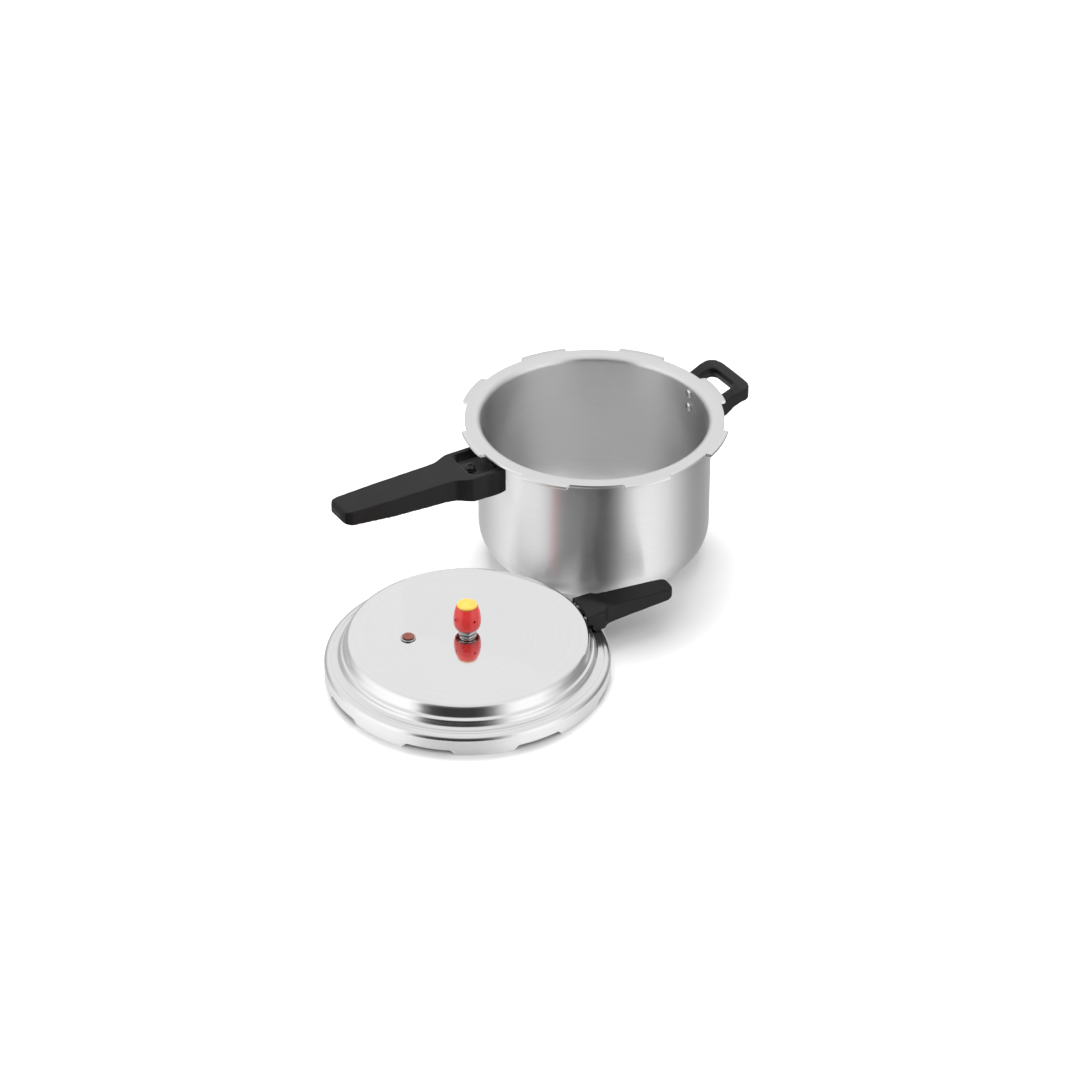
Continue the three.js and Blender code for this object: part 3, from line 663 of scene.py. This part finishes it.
def build_helper():
    plan = mirror([(104, 28.5), (118, 29.5), (136, 31.3), (143.5, 31), (149, 27.5), (152.5, 19), (154, 8)])
    ob = prism("helper_handle_moulded", fillet(plan, [0, 30, 12, 7, 9, 12, 8] + [8, 12, 9, 7, 12, 30, 0], 8), 106, HH_TOP)
    side = [
        (102, 135.6), (102, 112), (114, 112.5), (120, 114.5), (126, 118.5), (131, 123), (138, 126), (146, 126.2), (152.5, 126.6),
        (155, 129), (155, 134.5), (151, HH_TOP), (141, HH_TOP), (133, 136), (124, 132.6), (118, 131), (112.5, 135.6),
    ]
    boolean(ob, slab("c", fillet(side, [0, 0, 4, 8, 12, 10, 10, 10, 2, 3, 4, 4, 14, 14, 16, 5, 0], 8), -40, 40), "INTERSECT")
    hole = [(116.5, 18.5), (132, 19), (137.5, 18.5), (140.5, 14.5)]
    boolean(ob, prism("c", fillet(mirror(hole), [2.5, 10, 5, 5, 5, 5, 10, 2.5], 6), 90, 150))
    # the opening flares out underneath, towards the fingertips
    flare = fillet(mirror([(116.5, 24), (134, 25.5), (143.5, 24.5), (148.5, 17)]), [3.5, 12, 8, 7, 7, 8, 12, 3.5], 6)
    up = fillet(mirror(hole), [2.5, 10, 5, 5, 5, 5, 10, 2.5], 6)
    boolean(ob, hull("c", [(x, y, min(133.2, 126 + (x - 119) / 3)) for x, y in up] + [(x, y, 110) for x, y in flare]))
    boolean(ob, drum("c", POT_R + 0.6, 100, 150, seg=192))
    boolean(ob, drum("c", RELIEF_R, RELIEF_Z, 150, seg=192))
    boolean(ob, wedge("c", POT_R - 1, 110.2, 0, 13.4, 110.9, 150))
    boolean(ob, drum_x("c", 2.8, 100, 130, HH_SCREW_Z))
    moulded(ob, 0.5, 9, 0.5)
    dress(ob, M_BLACK)
    return finish_piece(ob, "pot", "helper_handle")


def build_lid_handle():
    plan = mirror([(106, 17), (116, 16.4), (124, 15.8), (129, 11.8), (136, 11.2), (150, 10.8), (180, 10), (189.5, 9.5), (193.3, 7.5), (194.5, 4)])
    radii = [0, 6, 3.5, 3.5, 10, 30, 60, 4, 3, 3] + [3, 3, 4, 60, 30, 10, 3.5, 3.5, 6, 0]
    ob = prism("lid_handle_moulded", fillet(plan, radii, 8), 17, L2_TOP)
    side = [
        (105, 36.4), (105, 27.3), (112.3, 27.3), (112.3, 22), (115.3, 19.7), (126, 19.5), (130, 20.8), (150, 23.6), (188.5, 28), (193, 29.5),
        (195.5, 32), (195.5, 37.2), (192.5, L2_TOP), (132, L2_TOP), (121, 38.1), (112, 36.8),
    ]
    boolean(ob, slab("c", fillet(side, [0, 0, 1, 0.8, 0.8, 4, 10, 40, 4, 2, 2, 2, 3, 20, 20, 10], 8), -40, 40), "INTERSECT")
    boolean(ob, drum("c", DOME_R + 1.4, 20, 60, seg=192))
    boolean(ob, wedge("c", 107.5, 112.9, 0, 15, 15, 35.1))
    boolean(ob, block("c", 105, 127.6, -6.5, 6.5, 15, 31.2))
    boolean(ob, drum("c", 2.7, 20, 36, at=(120.5, 0), seg=32))
    moulded(ob, 0.45, 7, 0.5)
    move(ob, YAW, LC)
    dress(ob, M_BLACK)
    return finish_piece(ob, "lid", "lid_handle")


build_long_handle()
build_helper()
build_lid_handle()


# ------------------------------------------------------------------ brackets
def drilled(ob, holes):
    for h in holes:
        boolean(ob, h)
    return bevelled(ob, 0.35, 3)


lb = boolean(wedge("long_handle_bracket_plate", 105.3, 107.8, 0, 14, 111.5, 134.8), block("c", 106.6, 135.5, -11, 11, 124.3, 126.7), "UNION")
drilled(lb, [drum_x("c", 2.8, 100, 112, z) for z in RIVET_Z] + [drum("c", 2.7, 120, 130, at=(LH_SCREW_X, 0), seg=40)])
move(lb, 180)
# the bracket takes the near-black steel, painted shade for the pocket
dress(lb, M_POCKET_SHADE)
finish_piece(lb, "pot", "long_handle_bracket")

hb = wedge("helper_bracket_plate", 105.3, 107.8, 0, 12, 111.5, 134.8)
drilled(hb, [drum_x("c", 2.8, 100, 112, z) for z in RIVET_Z] + [drum_x("c", 2.7, 100, 112, HH_SCREW_Z)])
dress(hb, M_STEEL)
finish_piece(hb, "pot", "helper_bracket")

kb = boolean(wedge("lid_handle_bracket_plate", 108.5, 110.5, 0, 13.6, 28.7, 34.6), block("c", 109.3, 127, -6, 6, 28.7, 30.9), "UNION")
kh = []
for s in (-1, 1):
    h = drum_x("c", 2.1, 100, 116, LID_RIVET_Z)
    kh.append(move(h, s * 5))
drilled(kb, kh + [drum("c", 2.7, 20, 40, at=(120.5, 0), seg=40)])
move(kb, YAW, LC)
dress(kb, M_STEEL)
finish_piece(kb, "lid", "lid_handle_bracket")


# ------------------------------------------------------------------ rivets, screws, washers
def rivet(name, x0, x1, z, turn, body, head=4.2, shank=2.5, tail=3.2, at=(0, 0)):
    p = [(0, x0 - 1.95), (head * 0.35, x0 - 1.86), (head * 0.62, x0 - 1.58), (head * 0.84, x0 - 1.08), (head * 0.97, x0 - 0.5), (head, x0 - 0.18), (head - 0.12, x0)]
    p += [(shank, x0), (shank, x1), (tail - 0.2, x1), (tail, x1 + 0.2), (tail, x1 + 0.55), (tail * 0.8, x1 + 1.0), (tail * 0.45, x1 + 1.25), (0, x1 + 1.3)]
    ob = revolve(name, p, 48, centre=at, axis="x", at=(0, 0, z), turn=turn, sharp=50)
    dress(ob, M_RIVET)
    return finish_piece(ob, body, name[: -len("_domed")])


hx = IN_R * math.cos(math.pi / 48) - 0.35
for tag, az in (("helper", 0), ("long_handle", 180)):
    for i, z in enumerate(RIVET_Z):
        rivet(f"{tag}_rivet_{'upper' if i else 'lower'}_domed", hx + 0.25, 108.25, z, az, "pot")
for tag, s in (("left", 5), ("right", -5)):
    rivet(f"lid_rivet_{tag}_domed", 104.1, 110.8, LID_RIVET_Z, YAW + s, "lid", 3.3, 1.8, 2.8, at=(LID_X, LID_Y))


def screw(name, seat, tip, head, high, flip=False, along_x=False, at=(0, 0, 0), body="pot", metal=None):
    p = [(0, tip), (1.4, tip), (2.3, tip + 1.0)]
    z = tip + 1.0
    while z < seat - 1.2:  # thread, drawn as rings
        p += [(2.38, z + 0.2), (2.02, z + 0.45), (2.38, z + 0.7)]
        z += 0.7
    p += [(2.3, seat), (head - 0.15, seat), (head, seat + 0.2), (head, seat + high * 0.35), (head * 0.93, seat + high * 0.66), (head * 0.74, seat + high * 0.9), (head * 0.42, seat + high), (0, seat + high)]
    ob = revolve(name, p, 48, sharp=45)
    for a in (0, 90):
        t = block("c", -head * 0.56, head * 0.56, -0.5, 0.5, seat + high - 1.3, seat + high + 1)
        t.data.transform(Matrix.Rotation(rad(a + 20), 4, "Z"))
        boolean(ob, t)
    smooth(ob.data, 45)
    m = Matrix.Identity(4)
    if flip:
        m = Matrix.Rotation(math.pi, 4, "X")
    if along_x:
        m = Matrix.Rotation(math.pi / 2, 4, "Y")
    ob.data.transform(Matrix.Translation(Vector(at) * MM) @ m)
    dress(ob, metal or M_STEEL)
    return finish_piece(ob, body, name[: -len("_pan")])


def washer(name, r, z0, z1, at=(0, 0, 0), along_x=False, body="pot", metal=None):
    ob = revolve(name, fillet([(2.7, z0), (r, z0), (r, z1), (2.7, z1)], 0.2, 3), 64, closed=True, sharp=50)
    m = Matrix.Rotation(math.pi / 2, 4, "Y") if along_x else Matrix.Identity(4)
    ob.data.transform(Matrix.Translation(Vector(at) * MM) @ m)
    dress(ob, metal or M_STEEL)
    return finish_piece(ob, body, name[: -len("_disc")])


# washer and screw in the pocket, also near-black as painted shade
washer("long_handle_washer_disc", 5.6, 127.0, 128.0, at=(-LH_SCREW_X, 0, 0), metal=M_POCKET_SHADE)
screw("long_handle_screw_pan", 128.3, 117.6, 4.6, 2.8, at=(-LH_SCREW_X, 0, 0), metal=M_POCKET_SHADE)
washer("helper_washer_disc", 5.2, 116.8, 117.7, at=(0, 0, HH_SCREW_Z), along_x=True)
screw("helper_screw_pan", 118.0, 105.7, 4.3, 2.4, along_x=True, at=(0, 0, HH_SCREW_Z))
sx, sy = LID_X + 120.5 * math.cos(rad(YAW)), LID_Y + 120.5 * math.sin(rad(YAW))
washer("lid_handle_washer_disc", 5.0, 27.5, 28.4, at=(sx, sy, 0), body="lid")
screw("lid_handle_screw_pan", 0, -8.2, 4.2, 2.2, flip=True, at=(sx, sy, 27.2), body="lid")

# ------------------------------------------------------------------ steam vent
pipe = fillet([(1.3, 34), (9, 34), (9, 37), (4.9, 37)], [0, 0.5, 0.5, 0.2], 4, closed=False)
z = 37.3
while z < 43.7:
    pipe += [(4.9, z), (4.55, z + 0.3), (4.9, z + 0.6)]
    z += 0.8
pipe += [(4.85, 44.35), (3.8, 45.0), (3.3, 46.2), (3.1, 48), (2.95, 51), (2.7, 51.7), (2.4, 52), (1.75, 52), (1.45, 51.7), (1.3, 51.3)]
vp = revolve("vent_pipe_turned", pipe, 64, (LID_X, LID_Y), closed=True, sharp=40)
dress(vp, M_BRASS)
finish_piece(vp, "lid", "vent_pipe")
vw = revolve("vent_washer_seal", fillet([(5.2, 37.35), (9.4, 37.35), (9.4, 38.7), (5.2, 38.7)], 0.4, 4), 64, (LID_X, LID_Y), closed=True, sharp=60)
dress(vw, M_GASKET)
finish_piece(vw, "lid", "vent_washer")

nut = prism("vent_nut_hex", [(8.4 * math.cos(rad(60 * i + 10)), 8.4 * math.sin(rad(60 * i + 10))) for i in range(6)], 41.4, 44.2)
cone = revolve("c", [(0, 40.0), (6.9, 40.0), (9.3, 42.4), (9.3, 43.3), (7.5, 44.4), (0, 44.4)], 96)
boolean(nut, cone, "INTERSECT")
boolean(nut, drum("c", 5.1, 40, 50, seg=48))
bevelled(nut, 0.25, 2, 30, 35)
move(nut, 0, LC)
dress(nut, M_STEEL)
finish_piece(nut, "lid", "vent_nut")

st = revolve("vent_strainer_cup", fillet([(0, 28), (8.6, 28), (8.6, 33.7), (7.7, 33.7), (7.7, 29), (0, 29)], [0, 0.9, 0.3, 0.3, 0.6, 0], 5, closed=False), 64, sharp=50)
for i in range(7):
    p = (0, 0) if i == 6 else (4.6 * math.cos(rad(60 * i)), 4.6 * math.sin(rad(60 * i)))
    boolean(st, drum("c", 1.1, 26, 30, at=p, seg=24))
smooth(st.data, 40)
move(st, 0, LC)
dress(st, M_STEEL)
finish_piece(st, "lid", "vent_strainer")

bm = bmesh.new()
bmesh.ops.create_icosphere(bm, subdivisions=4, radius=3.6 * MM)
me = bpy.data.meshes.new("vent_ball_polished")
bm.to_mesh(me)
bm.free()
ball = link("vent_ball_polished", me)
ball.data.transform(Matrix.Translation(Vector((LID_X, LID_Y, 55.7)) * MM))
smooth(ball.data, 60)
dress(ball, M_STEEL)
finish_piece(ball, "vent_ball", "vent_ball")

# ------------------------------------------------------------------ pressure weight
core = revolve(
    "weight_core_turned",
    fillet([(0, 61), (4.3, 61), (4.3, 45.2), (6.5, 45.2), (7, 45.8), (7, 47.6), (6.5, 48.1), (7, 48.6), (7, 49.7), (9.5, 50.6), (9.5, 60.4), (7.6, 66), (0, 66)],
           [0, 1.5, 0.3, 0.4, 0.2, 0.2, 0.2, 0.2, 0.5, 0.3, 1.0, 0.5, 0], 4, closed=False),
    96, (LID_X, LID_Y), sharp=40,
)
dress(core, M_STEEL)
finish_piece(core, "weight", "weight_core")

cover = revolve(
    "weight_cover_moulded",
    fillet([(9.9, 47.3), (10.9, 47.0), (11.9, 50.6), (12.1, 55.5), (11.3, 62), (9.5, 67.9), (9.2, 68.25), (7.9, 68.25), (7.9, 66.2), (9.9, 60.4)],
           [0.3, 0.5, 2.5, 5, 8, 0.4, 0.3, 0.2, 0.5, 1.0], 6),
    128, (LID_X, LID_Y), closed=True, sharp=40,
)
for k in range(4):
    h = drum_x("c", 1.25, 9, 14, 57.6, seg=28)
    h.data.transform(Matrix.Translation(Vector(LC) * MM) @ Matrix.Rotation(rad(2 + 90 * k), 4, "Z"))
    boolean(cover, h)
smooth(cover.data, 40)
dress(cover, M_RED)
finish_piece(cover, "weight", "weight_cover")
# a near-black disc behind each port, over the steel core: painted shade that makes the holes look dark
for k in range(4):
    o = revolve(f"weight_port_shade_disc_{k}", [(0, 9.52), (1.2, 9.52), (1.2, 9.75), (0, 9.75)], 24, centre=(LID_X, LID_Y), axis="x", at=(0, 0, 57.6), turn=2 + 90 * k)
    dress(o, M_PORT_SHADE)
    finish_piece(o, "weight", None)

cap = revolve(
    "weight_cap_moulded",
    fillet([(0, 66.4), (7.5, 66.4), (7.5, 68.5), (9.0, 68.5), (9.0, 69.4), (8.5, 70.05), (7.2, 70.4), (6.7, 70.2), (4, 70.3), (0, 70.35)],
           [0, 0.3, 0.2, 0.3, 0.7, 0.6, 0.3, 0.3, 2, 0], 5, closed=False),
    128, (LID_X, LID_Y), sharp=45,
)
dress(cap, M_YELLOW)
finish_piece(cap, "weight", "weight_cap")

# ------------------------------------------------------------------ safety plug
px, py = LID_X + 51.8 * math.cos(rad(158)), LID_Y + 51.8 * math.sin(rad(158))
seat = revolve(
    "plug_seat_turned",
    fillet([(4.2, 36.9), (5.3, 36.9), (5.3, 40.8), (6.7, 40.8), (6.7, 41.25), (6.3, 41.55), (4.2, 41.55)], [0.2, 0.2, 0.1, 0.15, 0.2, 0.2, 0.2], 4),
    96, (px, py), closed=True, sharp=40,
)
dress(seat, M_STEEL)
finish_piece(seat, "lid", "plug_seat")
plug = revolve(
    "safety_plug_moulded",
    fillet([(0, 36.0), (3.4, 36.0), (3.9, 36.6), (3.9, 41.9), (5.2, 41.9), (5.3, 42.4), (4.8, 42.9), (3.4, 43.05), (2.6, 42.85), (0, 42.85)],
           [0, 0.3, 0.3, 0.2, 0.2, 0.3, 0.5, 0.3, 0.2, 0], 5, closed=False),
    96, (px, py), sharp=60,
)
dress(plug, M_PLUG)
finish_piece(plug, "safety_plug", "safety_plug")


# ------------------------------------------------------------------ floor
def build_floor():
    n, half, back = 60, 2600.0, 2600.0
    prof = [(-half, 0.0), (900, 0.0)]
    prof = [(-2600.0, 0.0), (2600.0, 0.0)] + [(2600 + 900 * math.sin(rad(a)), 900 - 900 * math.cos(rad(a))) for a in range(10, 91, 10)] + [(3500.0, 3200.0)]
    a = rad(-31.7)
    ux, uy = -math.sin(a), math.cos(a)  # away from the camera, on the floor
    vx, vy = math.cos(a), math.sin(a)
    v, f = [], []
    for s in (-4200.0, 4200.0):
        for d, z in prof:
            v.append((ux * d + vx * s, uy * d + vy * s, z))
    k = len(prof)
    for i in range(k - 1):
        f.append((i, i + 1, k + i + 1, k + i))
    ob = mesh_from("studio_floor", v, f, 60)
    if ob.data.polygons[0].normal.z < 0:
        ob.data.flip_normals()
    m = Mat("floor_paper")
    c = m.coords()
    g = m.noise(c, 3.0, 3, 0.5)
    m.set(Base_Color=m.ramp(g, [(0.3, (0.905, 0.905, 0.905)), (0.7, (0.915, 0.915, 0.915))]), Roughness=0.9)
    ob.data.materials.append(m.m)
    ob.visible_glossy = False
    return ob


build_floor()


# ------------------------------------------------------------------ camera
AZ, EL, DIST = -31.7, 33.5, 3500.0
TARGET = (-80.4, -37.2, 55.4)


def look_vec(az, el):
    a, e = rad(az), rad(el)
    return Vector((-math.sin(a) * math.cos(e), math.cos(a) * math.cos(e), -math.sin(e)))


cam_data = bpy.data.cameras.new("photo_camera")
cam_data.lens = 130.7
cam_data.sensor_width = 36.0
cam_data.clip_start, cam_data.clip_end = 0.05, 50.0
cam = bpy.data.objects.new("photo_camera", cam_data)
ROOT.objects.link(cam)
look = look_vec(AZ, EL)
cam.location = (Vector(TARGET) - look * DIST) * MM
cam.rotation_mode = "QUATERNION"
cam.rotation_quaternion = look.to_track_quat("-Z", "Y")
scene.camera = cam


# ------------------------------------------------------------------ light
def softbox(name, az, el, dist, w, h, power, target=(-80, -37, 60), colour=(1, 1, 1)):
    """A rectangular panel seen from the object at bearing az (0 = behind the object as the camera sees it, 90 = camera right) and height el."""
    a, e = rad(AZ - az), rad(el)
    d = Vector((-math.sin(a) * math.cos(e), math.cos(a) * math.cos(e), math.sin(e)))
    ld = bpy.data.lights.new(name, "AREA")
    ld.shape, ld.size, ld.size_y = "RECTANGLE", w * MM, h * MM
    ld.energy = power
    ld.color = colour
    o = bpy.data.objects.new(name, ld)
    o.location = (Vector(target) + d * dist) * MM
    o.rotation_mode = "QUATERNION"
    o.rotation_quaternion = (-d).to_track_quat("-Z", "Y")
    ROOT.objects.link(o)
    return o


# a wide ceiling panel lights the floor and the mouldings; the room below shapes what the metal shows
top = softbox("ceiling_panel", 0, 60, 2400, 1700, 1400, 62)
top.visible_glossy = False
low = softbox("front_fill", 180, 50, 2600, 2400, 1200, 8)
low.visible_glossy = False

# a white card between pot and lid, white only on the lid's side and seen only in its polish: it keeps the pot's dark side out of it
def build_card():
    a = math.atan2(LID_Y, LID_X)
    n = (math.cos(a), math.sin(a))
    t = (-n[1], n[0])
    q = [(n[0] * 122.5 + t[0] * w, n[1] * 122.5 + t[1] * w, z) for w, z in ((-135, 42), (135, 42), (135, 147), (-135, 147))]
    me = bpy.data.meshes.new("lid_side_card")
    me.from_pydata([tuple(c * MM for c in p) for p in q], [], [(0, 1, 2, 3)])
    me.update()
    if me.polygons[0].normal.dot(Vector((n[0], n[1], 0))) < 0:
        me.flip_normals()
    ob = link("lid_side_card", me)
    m = Mat("card_white_one_side")
    geo = m.node("ShaderNodeNewGeometry")
    em = m.node("ShaderNodeEmission")
    em.inputs["Color"].default_value = (0.88, 0.88, 0.88, 1)
    clear = m.node("ShaderNodeBsdfTransparent")
    mix = m.node("ShaderNodeMixShader")
    m.link(geo.outputs["Backfacing"], mix.inputs[0])
    m.link(em.outputs[0], mix.inputs[1])
    m.link(clear.outputs[0], mix.inputs[2])
    out = next(n for n in m.t.nodes if n.type == "OUTPUT_MATERIAL")
    m.link(mix.outputs[0], out.inputs["Surface"])
    m.t.nodes.remove(m.p)
    me.materials.append(m.m)
    ob.visible_camera = ob.visible_diffuse = ob.visible_transmission = ob.visible_shadow = ob.visible_volume_scatter = False


build_card()

# The room as the metal sees it: two upright white panels left and right of a darker camera side, softening higher up into a pale ceiling.
ROOM = [  # bearing from the camera side (0 = behind the camera, + to its right), brightness
    (-180, 0.66), (-150, 0.52), (-128, 0.54), (-112, 0.80), (-100, 1.0), (-84, 1.12), (-52, 1.20), (-44, 0.95), (-37, 0.26), (-30, 0.08),
    (-20, 0.045), (6, 0.045), (14, 0.08), (22, 0.26), (30, 0.72), (38, 1.04), (46, 1.15), (66, 1.12), (76, 0.92), (86, 0.74), (94, 0.52),
    (106, 0.36), (122, 0.30), (150, 0.52), (180, 0.66),
]
ROOM_HIGH = [
    (-180, 0.90), (-150, 0.90), (-120, 0.88), (-84, 1.05), (-66, 1.10), (-52, 1.12), (-44, 0.92), (-37, 0.38), (-28, 0.15), (-16, 0.10),
    (8, 0.09), (16, 0.15), (27, 0.50), (38, 0.98), (55, 1.08), (74, 1.0), (88, 0.76), (105, 0.64), (122, 0.74), (150, 0.86), (180, 0.90),
]
world = bpy.data.worlds.new("studio_room")
scene.world = world
world.use_nodes = True
wt = world.node_tree
bg = next(n for n in wt.nodes if n.type == "BACKGROUND")


def wmath(op, a, b=None, clamp=False):
    n = wt.nodes.new("ShaderNodeMath")
    n.operation, n.use_clamp = op, clamp
    for i, x in enumerate((a, b)):
        if x is None:
            continue
        if isinstance(x, (int, float)):
            n.inputs[i].default_value = x
        else:
            wt.links.new(x, n.inputs[i])
    return n.outputs[0]


def wdot(v, d):
    n = wt.nodes.new("ShaderNodeVectorMath")
    n.operation = "DOT_PRODUCT"
    wt.links.new(v, n.inputs[0])
    n.inputs[1].default_value = d
    return n.outputs["Value"]


def wramp(fac, stops):
    n = wt.nodes.new("ShaderNodeValToRGB")
    n.color_ramp.interpolation = "LINEAR"
    el = n.color_ramp.elements
    while len(el) > 1:
        el.remove(el[-1])
    for i, (pos, v) in enumerate(stops):
        e = el[0] if i == 0 else el.new(pos)
        e.position = pos
        e.color = (v, v, v, 1)
    wt.links.new(fac, n.inputs[0])
    return n.outputs[0]


tc = wt.nodes.new("ShaderNodeTexCoord")
gen = tc.outputs["Generated"]
ar = rad(AZ)
side = wdot(gen, (math.cos(ar), math.sin(ar), 0.0))
near = wdot(gen, (math.sin(ar), -math.cos(ar), 0.0))
up = wdot(gen, (0.0, 0.0, 1.0))
bearing = wmath("ADD", wmath("DIVIDE", wmath("ARCTAN2", side, near), 2 * math.pi), 0.5, clamp=True)
low_walls = wramp(bearing, [(b / 360.0 + 0.5, v) for b, v in ROOM])
high_walls = wramp(bearing, [(b / 360.0 + 0.5, v) for b, v in ROOM_HIGH])
ceiling = wramp(bearing, [(0.0, 0.90), (0.5, 0.84), (1.0, 0.90)])


def wmix(fac, a, b):
    n = wt.nodes.new("ShaderNodeMix")
    n.data_type = "RGBA"
    wt.links.new(fac, n.inputs["Factor"])
    wt.links.new(a, next(i for i in n.inputs if i.name == "A" and i.type == "RGBA"))
    wt.links.new(b, next(i for i in n.inputs if i.name == "B" and i.type == "RGBA"))
    return next(o for o in n.outputs if o.type == "RGBA")


walls = wmix(wramp(up, [(0.20, 0.0), (0.42, 1.0)]), low_walls, high_walls)
wt.links.new(wmix(wramp(up, [(0.58, 0.0), (0.82, 1.0)]), walls, ceiling), bg.inputs[0])
bg.inputs[1].default_value = 1.0

scene.view_settings.view_transform = "Standard"
scene.view_settings.look = "None"
scene.view_settings.exposure = 0.0
scene.view_settings.gamma = 1.0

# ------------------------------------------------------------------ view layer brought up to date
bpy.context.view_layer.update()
